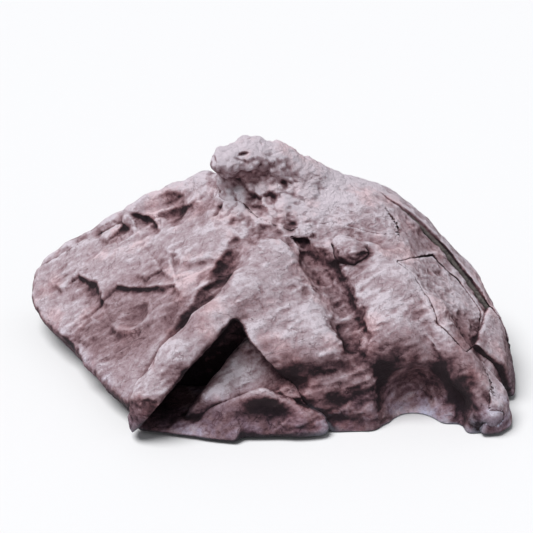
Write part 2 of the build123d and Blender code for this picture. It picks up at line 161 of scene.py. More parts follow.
def faceted(points, faces, blend):
    """Convex form with one flat per face and rounded edges."""
    value = plane(points, faces[0])
    for face in faces[1:]:
        value = smooth_max(value, plane(points, face), blend)
    return value


def bar(points, start, end):
    """Round tapering bar between two (x, y, z, radius) ends."""
    axis = [end[i] - start[i] for i in range(3)]
    offset = [points[i] - start[i] for i in range(3)]
    length = sum(a * a for a in axis)
    along = np.clip(sum(o * a for o, a in zip(offset, axis)) / length, 0, 1)
    distance = np.sqrt(sum((o - along * a) ** 2 for o, a in zip(offset, axis)))
    return distance - (start[3] + along * (end[3] - start[3]))


def chain(points, stations, blend=4.0):
    value = bar(points, stations[0], stations[1])
    for start, end in zip(stations[1:], stations[2:]):
        value = smooth_min(value, bar(points, start, end), blend)
    return value


def ball(points, centre, radii):
    """Ellipsoid."""
    scaled = [(points[i] - centre[i]) / radii[i] for i in range(3)]
    size = np.sqrt(sum(s * s for s in scaled)) + 1e-6
    slope = np.sqrt(sum((s / r) ** 2 for s, r in zip(scaled, radii))) + 1e-6
    return size * (size - 1) / slope


def between(points, face, inner, outer):
    """Slice between two planes parallel to a face."""
    value = plane(points, (face[0], face[1], 0))
    return np.maximum(inner - value, value - outer)


# ---------------------------------------------------------------------------------------------
# Repeatable noise on arrays of points

def lattice_hash(x, y, z, seed):
    h = x * np.uint32(73856093) ^ y * np.uint32(19349663) ^ z * np.uint32(83492791)
    h ^= np.uint32((seed * 2654435761) & 0xFFFFFFFF)
    h ^= h >> np.uint32(16)
    h *= np.uint32(0x7FEB352D)
    h ^= h >> np.uint32(15)
    h *= np.uint32(0x846CA68B)
    return h ^ (h >> np.uint32(16))


def thirds(h):
    """Three numbers of 0 to 1023 from one hash."""
    return [((h >> np.uint32(shift)) & np.uint32(1023)).astype(np.float32) for shift in (0, 10, 20)]


def gradient_noise(points, seed):
    """Smooth noise of about -1 to 1, with one feature per unit."""
    cells = [np.floor(p).astype(np.int64) for p in points]
    local = [(p - c).astype(np.float32) for p, c in zip(points, cells)]
    fade = [t * t * t * (t * (t * 6 - 15) + 10) for t in local]
    total = np.zeros(points[0].shape, np.float32)
    for corner in range(8):
        step = (corner & 1, corner >> 1 & 1, corner >> 2 & 1)
        h = lattice_hash(*[(c + s).astype(np.uint32) for c, s in zip(cells, step)], seed)
        slopes = [part / 511.5 - 1 for part in thirds(h)]
        value = sum(g * (t - s) for g, t, s in zip(slopes, local, step))
        weight = 1
        for f, s in zip(fade, step):
            weight = weight * (f if s else 1 - f)
        total += value * weight
    return total * 1.3


def fbm(points, size, octaves, seed, gain=0.5):
    """Layered noise whose largest features are size mm across."""
    total, weight, scale = 0, 1.0, 1.0 / size
    for octave in range(octaves):
        total = total + weight * gradient_noise([p * scale for p in points], seed + octave)
        weight *= gain
        scale *= 2.03
    return total


def ridges(points, size, octaves, seed):
    """Sharp-crested noise, 0 in the valleys and 1 on the crests."""
    total, weight, scale, full = 0, 1.0, 1.0 / size, 0.0
    for octave in range(octaves):
        fold = np.abs(gradient_noise([p * scale for p in points], seed + octave))
        total = total + weight * (1 - fold * 1.6)
        full += weight
        weight *= 0.5
        scale *= 2.1
    return np.clip(total / full, 0, 1)


def cells_noise(points, size, seed):
    """Distance to the nearest of scattered points, in units of size."""
    scaled = [p / size for p in points]
    base = [np.floor(p).astype(np.int64) for p in scaled]
    nearest = np.full(points[0].shape, 9.0, np.float32)
    for i in range(27):
        step = (i % 3 - 1, i // 3 % 3 - 1, i // 9 - 1)
        cell = [b + s for b, s in zip(base, step)]
        h = lattice_hash(*[c.astype(np.uint32) for c in cell], seed)
        spots = [part / 1023 for part in thirds(h)]
        distance = np.sqrt(sum((c + s - p) ** 2 for c, s, p in zip(cell, spots, scaled))).astype(np.float32)
        nearest = np.minimum(nearest, distance)
    return nearest


def drawn_out(points, axis, stretch):
    """Points squeezed along an axis, so that noise on them is stretched into streaks."""
    along = sum(p * a for p, a in zip(points, axis)) * (1 - 1 / stretch)
    return [p - a * along for p, a in zip(points, axis)]


def ramp(value, low, high):
    t = np.clip((value - low) / (high - low), 0, 1)
    return t * t * (3 - 2 * t)


# ---------------------------------------------------------------------------------------------
# Forms of the rock

def wobble(points, size, seed):
    """Slow unevenness of an edge, -1 to 1."""
    x, y, z = [p / size for p in points]
    across = np.sin(2.1 * x + 1.3 * y + seed)
    back = np.sin(1.7 * z - 1.1 * y + 2 * seed)
    rising = np.sin(3.3 * z + 2.3 * x + seed)
    return (across + back + rising) / 3


def grotto(points):
    return faceted(points, [(-106.5, 51.7, 64), (90, 48.6, 34), (180, 90, -46)], 5)


def recess(points):
    return ball(points, (117, -112, 23), (32, 44, 36))


def base_form(points):
    """The rock's body without its crest."""
    rock = faceted(points, MAIN_FACES, 9)
    rock = smooth_min(rock, faceted(points, LEFT_MASS, 7), 6)
    rock = smooth_min(rock, faceted(points, FOOT_MASS, 6), 6)
    rock = smooth_min(rock, faceted(points, CENTRE_MASS, 15), 7)
    rock = smooth_min(rock, faceted(points, RIGHT_MASS, 13), 7)
    rock = smooth_min(rock, chain(points, DIAGONAL_RIDGE, 8), 6)
    rock = smooth_min(rock, chain(points, TOP_LUMPS, 8), 10)
    rock = smooth_min(rock, chain(points, LIT_RIDGE, 8), 10)
    rock = smooth_max(rock, -recess(points), 5)
    rock = smooth_min(rock, faceted(points, LOWER_BULGE, 10), 7)
    rock = smooth_max(rock, -chain(points, LEFT_GULLY), 6)
    rock = smooth_max(rock, -chain(points, CENTRE_GULLY), 9)
    return smooth_max(rock, -grotto(points), 4)


HATCH_CUT = 0.1  # the joint around the hatch, on the shell's side
SHELL_FOOT = 0.4  # lowest level of the two shells, just clear of the ground
LEDGE_REACH = 9  # the hatch's ledge reaches this far to either side of its outline
LEDGE_TOP, LEDGE_UNDERSIDE, HATCH_HOLE_DEPTH = 8.6, 14.5, 24  # depths below the hatch's outer face
CREST_LIP = 2.5  # least thickness of the crest at its edge
CREST_WALL = 13.0  # thickness of the crest over its hollow
OVERLAP = 0.25  # bonded castings reach this far into one another, so that no joint shows


def crest_form(points):
    rock = smooth_min(faceted(points, CREST_FACES, 11), faceted(points, KNOB_FACES, 11), 9)
    return smooth_min(rock, chain(points, CREST_LUMPS, 8), 10)


def hollowed(points, rock):
    for centre, radii in HOLLOWS:
        rock = smooth_max(rock, -ball(points, centre, radii), 6)
    return rock


def shell_form(points):
    """Outside of the whole front: body and crest run into one another."""
    return hollowed(points, smooth_min(base_form(points), crest_form(points), 8))


def rear_form(points):
    return faceted(points, REAR_FACES, 9)


def inner_form(points):
    """The hollow inside both shells."""
    hollow = faceted(points, INNER_FACES, 4)
    hollow = np.maximum(hollow, WALL - grotto(points))
    return np.maximum(hollow, WALL - recess(points))


def shifted(faces, step):
    return [(a, t, d + step) for a, t, d in faces]


FLANGE_OUTER_EDGE, FLANGE_INNER_EDGE = 4, 32  # depths below the rock's outer faces
FLANGE_FOOT = 11.3  # just above the stiffening ring
FRONT_FLANGE, REAR_FLANGE = (60, 65.8), (66.2, 72)  # either side of the seam, along its direction


def flange(points, inner, outer):
    """Frame inside the shells, on one side of the seam, that the bolts pass through."""
    outer_edge = faceted(points, shifted(MAIN_FACES, -FLANGE_OUTER_EDGE), 4)
    inner_edge = faceted(points, shifted(MAIN_FACES, -FLANGE_INNER_EDGE), 4)
    band = np.maximum(np.maximum(outer_edge, -inner_edge), between(points, SEAM, inner, outer))
    return np.maximum(band, FLANGE_FOOT - points[2])


# The hatch's outline, read from the outer face of its CAD solid
hatch_axis = np.array(frame["joints"][0]["axis"], float)
hatch_right = np.array([-hatch_axis[1], hatch_axis[0], 0]) / math.hypot(hatch_axis[0], hatch_axis[1])
hatch_up = np.cross(hatch_axis, hatch_right)
hatch_points = np.array([v.co for v in frame["nodes"]["flank_hatch"].data.vertices]) / MM
hatch_level = (hatch_points @ hatch_axis).max()
rim = hatch_points[hatch_points @ hatch_axis > hatch_level - 0.01]
rim = np.unique(np.round(np.stack([rim @ hatch_right, rim @ hatch_up], 1), 2), axis=0)
spread = rim - rim.mean(0)
OUTLINE = rim[np.argsort(np.arctan2(spread[:, 1], spread[:, 0]))]


def hatch_side(points):
    """Signed distance from the hatch's outline, seen straight on."""
    u = sum(points[i] * hatch_right[i] for i in range(3))
    v = sum(points[i] * hatch_up[i] for i in range(3))
    distance = np.full(u.shape, 1e9, np.float32)
    outside = np.ones(u.shape, bool)
    for (x0, y0), (x1, y1) in zip(OUTLINE, np.roll(OUTLINE, -1, 0)):
        ex, ey = x1 - x0, y1 - y0
        along = np.clip(((u - x0) * ex + (v - y0) * ey) / (ex * ex + ey * ey), 0, 1)
        distance = np.minimum(distance, (u - x0 - along * ex) ** 2 + (v - y0 - along * ey) ** 2)
        crosses = (v >= y0) != (v >= y1)
        if abs(ey) > 1e-6:
            outside ^= crosses & (u < x0 + (v - y0) * ex / ey)
    return np.where(outside, 1, -1) * np.sqrt(distance)


def hatch_depth(points):
    return hatch_level - sum(points[i] * hatch_axis[i] for i in range(3))


def front_skin(points):
    """Outer surface of the front shell, carried up to the edge of the crest."""
    base, crest = base_form(points), crest_form(points)
    beyond_crest = np.maximum(smooth_min(base, crest, 8), base - crest - CREST_LIP - OVERLAP)
    return hollowed(points, np.minimum(base, beyond_crest))


def front_piece(points):
    base, shell = base_form(points), front_skin(points)
    side, depth = hatch_side(points), hatch_depth(points)
    hollow = np.maximum(inner_form(points), hollowed(points, base) + 6)
    piece = np.maximum(shell, -hollow)
    piece = np.minimum(piece, flange(points, *FRONT_FLANGE))
    ledge = np.maximum(np.abs(side) - LEDGE_REACH, np.maximum(LEDGE_TOP - depth, depth - LEDGE_UNDERSIDE))
    piece = np.minimum(piece, ledge)
    gap = HATCH_CUT + 2.0 * ramp(sum(points[i] * hatch_right[i] for i in range(3)), 30, 60)
    piece = np.maximum(piece, -np.maximum(side - gap, depth - LEDGE_TOP))
    piece = np.maximum(piece, -np.maximum(side + LEDGE_REACH, depth - HATCH_HOLE_DEPTH))
    piece = np.maximum(piece, plane(points, SEAM) + 0.2)
    piece = np.maximum(piece, plane(points, SLIT) + 2.5 + 1.6 * wobble(points, 14, 3))
    return np.maximum(piece, SHELL_FOOT - points[2])


def rear_piece(points):
    shell = rear_form(points)
    piece = np.maximum(shell, -faceted(points, shifted(REAR_FACES, -WALL), 4))
    piece = np.minimum(piece, flange(points, *REAR_FLANGE))
    cut = np.maximum(plane(points, SEAM) - 0.2, plane(points, SLIT) - 2.0 + 1.2 * wobble(points, 17, 5))
    return np.maximum(np.maximum(piece, -cut), SHELL_FOOT - points[2])


def crest_piece(points):
    base, crest = base_form(points), crest_form(points)
    body = np.minimum(base, rear_form(points))
    piece = np.maximum(shell_form(points), np.maximum(crest - base + CREST_LIP, -body) - OVERLAP)
    piece = np.maximum(piece, -np.maximum(crest + CREST_WALL, WALL - body))
    return np.maximum(piece, HATCH_CUT - hatch_side(points))


def hatch_piece(points):
    slab = np.maximum(shell_form(points), hatch_side(points) + HATCH_CUT)
    return np.maximum(slab, hatch_depth(points) - WALL)


def seated(form, gap=-0.4):
    """A stone that is trimmed where it meets the shell."""
    return lambda points: np.maximum(form(points), gap - shell_form(points))


def boss_form(points):
    lump = ball(points, (68, -15, 121), (15, 12, 9))
    return smooth_min(lump, ball(points, (60, -8, 126), (9, 10, 6)), 4)


def wedge_form(points):
    faces = [(80, 72, 203), (70, 42, 164), (-105, 50, -99), (12, 90, 97), (139.5, 90, 126), (0, 180, -4)]
    return faceted(points, faces, 3)


def foot_form(points):
    faces = [
        (70, 42, 161), (6, 34.5, 107), (5, 80, 129), (45, 80, 209), (80, 72, 202),
        (-75, 76, -129), (159, 100, -12), (0, 10, 60), (0, 180, -3),
    ]
    return faceted(points, faces, 2.5)


def apron_form(points):
    faces = [(-14, 34, 86), (-115, 62, 28), (90, 48.6, 37), (180, 90, -45.5), (0, 85, 104), (0, 180, -3)]
    return smooth_max(faceted(points, faces, 9), -ball(points, (-24, -96, 66), (40, 30, 36)), 8)


def sill_form(points):
    rock_faces = [
        (-90, 25, 43), (90, 26, 32.5), (-90, 85, 60), (90, 85, 45), (0, 80, 121),
        (20, 55, 106), (-20, 55, 107), (180, 90, -99), (0, 180, -3),
    ]
    toe_faces = [(-90, 85, 113), (90, 90, -30), (-12, 45, 96), (180, 90, -46), (0, 0, 11), (0, 180, -3)]
    rise_faces = [(-60, 60, 84), (90, 70, -40), (0, 80, 118), (180, 90, -96), (0, 0, 22), (0, 180, -3)]
    rock = faceted(points, rock_faces, 6)
    rock = smooth_max(rock, -ball(points, (-8, -128, 24), (34, 20, 16)), 6)
    rock = smooth_min(rock, faceted(points, toe_faces, 4), 7)
    return smooth_min(rock, faceted(points, rise_faces, 6), 6)


def whole_form(points):
    """Everything that can shade a surface."""
    value = np.minimum(shell_form(points), rear_form_behind(points))
    for form in (boss_form, wedge_form, foot_form, apron_form, sill_form):
        value = np.minimum(value, form(points))
    return value


def rear_form_behind(points):
    return np.maximum(rear_form(points), -np.maximum(plane(points, SEAM), plane(points, SLIT) - 2))


# ---------------------------------------------------------------------------------------------
# Meshing

LAYERS_AT_ONCE = 24  # keeps the memory that a form needs small
OUTSIDE = 9  # value on the border of the grid, so that each mesh is closed
CORNER_PULL = 0.12  # draws a vertex to the middle of its crossings where they don't fix it


def surface_net(form, low, high, step):
    """Vertices and quads of the surface where a form crosses zero: one vertex for each crossed cell, put
    where the planes of its crossings meet, which keeps broken edges sharp."""
    axes = [np.arange(a, b + step, step, dtype=np.float32) for a, b in zip(low, high)]
    field = np.empty([len(a) for a in axes], np.float32)
    for start in range(0, len(axes[0]), LAYERS_AT_ONCE):
        layers = slice(start, start + LAYERS_AT_ONCE)
        field[layers] = form(np.meshgrid(axes[0][layers], axes[1], axes[2], indexing="ij"))
    field[[0, -1]] = field[:, [0, -1]] = field[:, :, [0, -1]] = OUTSIDE
    inside = field < 0
    shape = np.array(field.shape) - 1
    corners = [(i, j, k) for i in (0, 1) for j in (0, 1) for k in (0, 1)]
    count = np.zeros(shape, np.uint8)
    for i, j, k in corners:
        count += inside[i:i + shape[0], j:j + shape[1], k:k + shape[2]]
    active = (count > 0) & (count < 8)
    cells = np.argwhere(active)
    number = np.full(shape, -1, np.int32)
    number[active] = np.arange(len(cells))
    slopes = [np.gradient(field, step, axis=axis) for axis in range(3)]
    values = {c: field[tuple((cells + c).T)] for c in corners}
    steep = {c: np.stack([slope[tuple((cells + c).T)] for slope in slopes], 1) for c in corners}
    middle, hits = np.zeros((len(cells), 3)), np.zeros((len(cells), 1))
    spread, target = np.zeros((len(cells), 3, 3)), np.zeros((len(cells), 3))
    for a in corners:
        for axis in range(3):
            if a[axis]:
                continue
            b = tuple(1 if i == axis else a[i] for i in range(3))
            cross = ((values[a] < 0) != (values[b] < 0)).astype(float)[:, None]
            share = (values[a] / np.where(cross[:, 0] > 0, values[a] - values[b], 1))[:, None]
            share = np.clip(share, 0, 1)
            point = np.tile(np.array(a, float), (len(cells), 1))
            point[:, axis] += share[:, 0]
            normal = steep[a] * (1 - share) + steep[b] * share
            normal = cross * normal / (np.linalg.norm(normal, axis=1, keepdims=True) + 1e-6)
            middle += point * cross
            hits += cross
            spread += normal[:, :, None] * normal[:, None, :]
            target += normal * (normal * point).sum(1, keepdims=True)
    middle /= hits
    target += CORNER_PULL * middle
    corner = np.linalg.solve(spread + CORNER_PULL * np.eye(3), target[:, :, None])[:, :, 0]
    corner = np.clip(corner, 0, 1)
    vertices = np.array([a[0] for a in axes]) + (cells + corner) * step
    quads = []
    for axis in range(3):
        u, v = (axis + 1) % 3, (axis + 2) % 3
        low_side = [slice(1, -1)] * 3
        high_side = [slice(1, -1)] * 3
        low_side[axis], high_side[axis] = slice(0, -1), slice(1, None)
        first, second = inside[tuple(low_side)], inside[tuple(high_side)]
        base = [1, 1, 1]
        base[axis] = 0
        edges = np.argwhere(first != second) + base
        ring = []
        for du, dv in ((-1, -1), (0, -1), (0, 0), (-1, 0)):
            cell = edges.copy()
            cell[:, u] += du
            cell[:, v] += dv
            ring.append(number[tuple(cell.T)])
        ring = np.stack(ring, 1)
        out = inside[tuple(edges.T)]
        ring[~out] = ring[~out][:, ::-1]
        quads.append(ring)
    return vertices.astype(np.float64), np.concatenate(quads)


def vertex_normals(vertices, quads):
    a, b, c, d = [vertices[quads[:, i]] for i in range(4)]
    face = np.cross(c - a, d - b)
    normals = np.zeros_like(vertices)
    for i in range(4):
        for axis in range(3):
            normals[:, axis] += np.bincount(quads[:, i], face[:, axis], len(vertices))
    return normals / (np.linalg.norm(normals, axis=1, keepdims=True) + 1e-12)


def smoothed(values, quads, rounds):
    """Values averaged with their neighbours along mesh edges."""
    start = quads.ravel()
    end = np.roll(quads, -1, 1).ravel()
    size = len(values)
    weight = np.bincount(start, minlength=size) + np.bincount(end, minlength=size)
    values = values.reshape(size, -1).astype(float)
    for _ in range(rounds):
        total = np.empty_like(values)
        for column in range(values.shape[1]):
            total[:, column] = np.bincount(start, values[end, column], size)
            total[:, column] += np.bincount(end, values[start, column], size)
        values = 0.5 * values + 0.5 * total / weight[:, None]
    return values


def slope_of(form, points, reach=0.8):
    """Unit direction in which a form grows fastest."""
    columns = []
    for axis in range(3):
        ahead, behind = [p.copy() for p in points], [p.copy() for p in points]
        ahead[axis] += reach
        behind[axis] -= reach
        columns.append(form(ahead) - form(behind))
    slope = np.stack(columns, 1)
    return slope / (np.linalg.norm(slope, axis=1, keepdims=True) + 1e-9)


# ---------------------------------------------------------------------------------------------
# Surface relief, in mm outwards

FAULTS = [
    [
        (-168, 36, 66), (-158, 20, 64), (-153, 14, 60), (-138, 17, 72), (-127, 8, 75), (-104, -9, 84),
        (-84, -20, 90),
    ],
    [(-152, 78, 91), (-137, 80, 104), (-130, 92, 113), (-118, 84, 116), (-106, 58, 114)],
    [(-112, 6, 85), (-96, 4, 94), (-88, 14, 104), (-70, 0, 106), (-46, -18, 114)],
    [(-106, 64, 117), (-90, 60, 126), (-73, 54, 136), (-56, 58, 146)],
    [(-174, -6, 36), (-163, 8, 50), (-153, 14, 60)],
    [(-132, -26, 52), (-112, -34, 60), (-88, -40, 74), (-70, -40, 84)],
    [(-190, 60, 50), (-176, 58, 64), (-168, 36, 66)],
]


def fault(points, path):
    """Distance from a crack, and how far above it a point lies."""
    nearest = np.full(points[0].shape, 1e9, np.float32)
    above = np.zeros_like(nearest)
    for start, end in zip(path, path[1:]):
        axis = [end[i] - start[i] for i in range(3)]
        along = sum((points[i] - start[i]) * axis[i] for i in range(3)) / sum(a * a for a in axis)
        along = np.clip(along, 0, 1)
        offset = [points[i] - start[i] - along * axis[i] for i in range(3)]
        distance = np.sqrt(sum(o * o for o in offset))
        above = np.where(distance < nearest, offset[2], above)
        nearest = np.minimum(nearest, distance)
    return nearest, above


def stone_relief(points, slab_share):
    """Undulation, slanting wrinkles, small chips and grain of the plain rock."""
    height = 2.2 * fbm(points, 50, 2, 11) + 1.2 * fbm(points, 18, 2, 21)
    wrinkled = 0.45 + 0.75 * ramp(fbm(points, 60, 1, 17), -0.3, 0.4)
    for axis, share, seed in ((SLAB_GRAIN, slab_share, 31), (FRONT_GRAIN, 1 - slab_share, 35)):
        streak = drawn_out(points, axis, 3.6)
        wrinkles = 2.4 * (ridges(streak, 17, 4, seed) - 0.72) + 0.7 * fbm(streak, 5, 3, seed + 10)
        height += share * wrinkled * wrinkles
    moved = [p + 2.5 * gradient_noise([q / 8 for q in points], 25 + i) for i, p in enumerate(points)]
    height += 1.1 * (0.6 - cells_noise(moved, 23, 29))
    return height + 0.3 * fbm(points, 3.0, 2, 51)


def slab_relief(points):
    """Layers of the left slab, each lipped over a crack."""
    wander = [p + 2.6 * gradient_noise([q / 16 for q in points], 71 + i) for i, p in enumerate(points)]
    height = 1.4 * fbm(drawn_out(points, SLAB_GRAIN, 3), 34, 2, 75)
    for path in FAULTS:
        distance, above = fault(wander, path)
        lip = 2.0 * (ramp(above, -2.2, 2.2) - 0.5)
        height += 2.2 * lip * np.exp(-distance / 13) - 1.2 * (1 - ramp(distance, 0.2, 2.2))
    return height


def crest_relief(points):
    """Rubbly knobs and pits of the crest."""
    bent = [p + 4 * gradient_noise([q / 18 for q in points], 81 + i) for i, p in enumerate(points)]
    rubble = ramp(points[0], 70, -10) * 0.65 + 0.35
    knobs = 4.2 * np.abs(gradient_noise([p / 15 for p in bent], 85))
    knobs += 2.4 * np.abs(gradient_noise([p / 7 for p in bent], 86))
    knobs += 1.1 * np.abs(gradient_noise([p / 3.6 for p in points], 87)) - 1.6
    return rubble * (knobs - 3.0 * ramp(fbm(points, 12, 2, 91), 0.3, 0.8)) - pit_depth(bent)


def pit_depth(points):
    depth = np.zeros_like(points[0])
    for centre, radius, deep in PITS:
        distance = np.sqrt(sum((p - c) ** 2 for p, c in zip(points, centre)))
        depth += deep * ramp(distance, 1.25 * radius, 0.4 * radius)
    return depth


def relief(points, crest_share, slab_share):
    height = stone_relief(points, slab_share) * (1 - 0.25 * crest_share)
    return height + slab_share * slab_relief(points) + crest_share * crest_relief(points)


# ---------------------------------------------------------------------------------------------
# Building a casting

COARSE = 1.0


def columns(vertices):
    return [vertices[:, i].astype(np.float32) for i in range(3)]


def painted_shade_at(vertices, normals):
    """How much the rock closes in around each point, 0 in the open to 1 in a deep corner; the rock's colour
    darkens by it as painted shade.
    """
    closed = np.zeros(len(vertices))
    for reach, share in ((4, 0.22), (9, 0.26), (20, 0.28), (42, 0.24)):
        room = whole_form(columns(vertices + normals * reach))
        closed += share * np.clip((reach - room) / reach, 0, 1.6)
    return np.clip(closed, 0, 1)


# Tone changes on the rock: the patches, partly the paint's own tone and partly painted light and shade, and
# painted shade along the slab's cracks and in the crest's pits.
def paint_and_shade_at(points):
    tone = np.zeros_like(points[0])
    for centre, radii, change in PAINT_AND_SHADE_PATCHES:
        tone += change * ramp(-ball(points, centre, radii), 0, 0.5 * min(radii))
    # Painted shade along the slab's cracks, under the lip of each layer.
    for path in FAULTS:
        tone -= 0.20 * (1 - ramp(fault(points, path)[0], 0.8, 4.5))
    # Painted shade in the crest's pits.
    return tone - 0.08 * pit_depth(points)


def set_values(mesh, name, values):
    layer = mesh.attributes.new(name, "FLOAT", "POINT")
    layer.data.foreach_set("value", values.astype(np.float32))


def casting(name, form, skin, box, step, node, body, crest_share=None, slab_share=None, strength=1.0):
    """Mesh a form, roughen the part of it that lies on its skin, and store what its material needs."""
    low, high = [np.array(corner, float) for corner in box]
    vertices, quads = surface_net(form, low, high, step * COARSE)
    points = columns(vertices)
    depth = skin(points)
    outside = np.exp(-(np.maximum(-depth - 0.4, 0) / 2.2) ** 2)
    crest = crest_share(points) if crest_share else np.zeros(len(vertices), np.float32)
    slab = slab_share(points) if slab_share else np.zeros(len(vertices), np.float32)
    height = relief(points, crest, slab) * outside * strength
    height *= ramp(points[2], 2, 12) * 0.8 + 0.2
    height += 0.5 * fbm(points, 3.4, 2, 15) * (1 - outside)
    vertices = vertices + slope_of(skin, points) * (height * outside)[:, None]
    vertices += vertex_normals(vertices, quads) * (height * (1 - outside))[:, None]
    vertices[:, 2] = np.maximum(vertices[:, 2], np.minimum(points[2], 3.2))

    normals = vertex_normals(vertices, quads)
    fine = ((vertices - smoothed(vertices, quads, 3)) * normals).sum(1)
    broad = ((vertices - smoothed(vertices, quads, 22)) * normals).sum(1)
    mesh = bpy.data.meshes.new(name)
    mesh.from_pydata((vertices * MM).tolist(), [], quads.tolist())
    # Painted shade: the material darkens corners and hollows by how closed in they are.
    set_values(mesh, "painted_shade", painted_shade_at(vertices, normals))
    # Curvature: the material lightens ridges by it as painted highlight and darkens creases as painted shade.
    set_values(mesh, "edge", smoothed(np.clip(fine * 1.1 + broad * 0.45, -1, 1), quads, 1)[:, 0])
    set_values(mesh, "skin", outside)
    set_values(mesh, "crest", crest)
    set_values(mesh, "slab", slab)
    # Tone patches with crack and pit darkening: partly the paint and partly painted light and shade.
    set_values(mesh, "paint_and_shade", paint_and_shade_at(columns(vertices)))
    mesh.polygons.foreach_set("use_smooth", np.ones(len(mesh.polygons), bool))
    mesh.update()
    piece = bpy.data.objects.new(name, mesh)
    bpy.context.scene.collection.objects.link(piece)
    mesh.materials.append(rock_material)
    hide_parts(node)
    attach(piece, body)
    print(f"{name}: {len(quads)} quads")
    return piece


# ---------------------------------------------------------------------------------------------
# Materials

class Nodes:
    """Short way to write a material's node tree."""

    def __init__(self, name):
        self.material = bpy.data.materials.new(name)
        self.material.use_nodes = True
        self.tree = self.material.node_tree
        self.shader = self.tree.nodes["Principled BSDF"]
        self.place = self.add("ShaderNodeTexCoord").outputs["Object"]

    def add(self, kind, **settings):
        node = self.tree.nodes.new(kind)
        for key, value in settings.items():
            setattr(node, key, value)
        return node

    def put(self, socket, value):
        if isinstance(value, bpy.types.NodeSocket):
            self.tree.links.new(value, socket)
        else:
            socket.default_value = value

    def attribute(self, name):
        return self.add("ShaderNodeAttribute", attribute_name=name).outputs["Fac"]

    def math(self, operation, a, b=0.0, c=0.0, clamp=False):
        node = self.add("ShaderNodeMath", operation=operation, use_clamp=clamp)
        for socket, value in zip(node.inputs, (a, b, c)):
            self.put(socket, value)
        return node.outputs[0]

    def span(self, value, low, high, start=0.0, end=1.0):
        """Smooth step of a value from start to end as it goes from low to high."""
        node = self.add("ShaderNodeMapRange", interpolation_type="SMOOTHSTEP")
        for socket, setting in zip(node.inputs, (value, low, high, start, end)):
            self.put(socket, setting)
        return node.outputs[0]

    def mix(self, share, first, second, blend="MIX"):
        node = self.add("ShaderNodeMix", data_type="RGBA", blend_type=blend)
        self.put(node.inputs["Factor"], share)
        for socket, value in zip((node.inputs[6], node.inputs[7]), (first, second)):
            self.put(socket, value if isinstance(value, bpy.types.NodeSocket) else (*value, 1))
        return node.outputs[2]

    def stretched(self, scale, turn=(0, 0, 0)):
        node = self.add("ShaderNodeMapping")
        self.put(node.inputs["Vector"], self.place)
        node.inputs["Rotation"].default_value = turn
        node.inputs["Scale"].default_value = scale
        return node.outputs[0]

    def streaked(self, axis, stretch):
        """Object place squeezed along an axis."""
        along = self.add("ShaderNodeVectorMath", operation="DOT_PRODUCT")
        self.put(along.inputs[0], self.place)
        along.inputs[1].default_value = axis
        shift = self.add("ShaderNodeVectorMath", operation="SCALE")
        shift.inputs[0].default_value = axis
        self.put(shift.inputs["Scale"], self.math("MULTIPLY", along.outputs["Value"], 1 / stretch - 1))
        moved = self.add("ShaderNodeVectorMath", operation="ADD")
        self.put(moved.inputs[0], self.place)
        self.put(moved.inputs[1], shift.outputs[0])
        return moved.outputs[0]

    def noise(self, scale, detail=4.0, rough=0.55, place=None, distortion=0.0):
        node = self.add("ShaderNodeTexNoise")
        self.put(node.inputs["Vector"], place or self.place)
        settings = {"Scale": scale, "Detail": detail, "Roughness": rough, "Distortion": distortion}
        for key, value in settings.items():
            node.inputs[key].default_value = value
        return node.outputs["Fac"]

    def bent(self, amount, scale):
        """Object place pushed about by noise, so that lines drawn on it wander."""
        noise = self.add("ShaderNodeTexNoise")
        self.put(noise.inputs["Vector"], self.place)
        noise.inputs["Scale"].default_value = scale
        noise.inputs["Detail"].default_value = 3
        shift = self.add("ShaderNodeVectorMath", operation="SCALE")
        self.put(shift.inputs[0], noise.outputs["Color"])
        shift.inputs["Scale"].default_value = amount
        moved = self.add("ShaderNodeVectorMath", operation="ADD")
        self.put(moved.inputs[0], self.place)
        self.put(moved.inputs[1], shift.outputs[0])
        return moved.outputs[0]

    def cells(self, scale, feature="F1", place=None):
        node = self.add("ShaderNodeTexVoronoi", feature=feature)
        self.put(node.inputs["Vector"], place or self.place)
        node.inputs["Scale"].default_value = scale
        return node.outputs["Distance"]

    def bump(self, height, distance, strength=1.0, normal=None):
        node = self.add("ShaderNodeBump")
        node.inputs["Distance"].default_value = distance
        node.inputs["Strength"].default_value = strength
        self.put(node.inputs["Height"], height)
        if normal is not None:
            self.put(node.inputs["Normal"], normal)
        return node.outputs[0]

    def finish(self, **values):
        for name, value in values.items():
            socket = self.shader.inputs[name.replace("_", " ")]
            if isinstance(value, tuple) and len(value) == 3:
                value = (*value, 1)
            self.put(socket, value)
        return self.material


# Colour ramp for the rock's tone, which carries painted light and shade as well as the paint's own shades;
# its darkest stops are painted shade in the cave and deep hollows.
PAINT_AND_SHADE_RAMP = [
    (0.00, (0.020, 0.009, 0.013)), (0.18, (0.066, 0.029, 0.037)), (0.36, (0.158, 0.082, 0.095)),
    (0.54, (0.282, 0.178, 0.198)), (0.72, (0.415, 0.305, 0.340)), (0.88, (0.540, 0.446, 0.495)),
    (1.00, (0.700, 0.620, 0.685)),
]


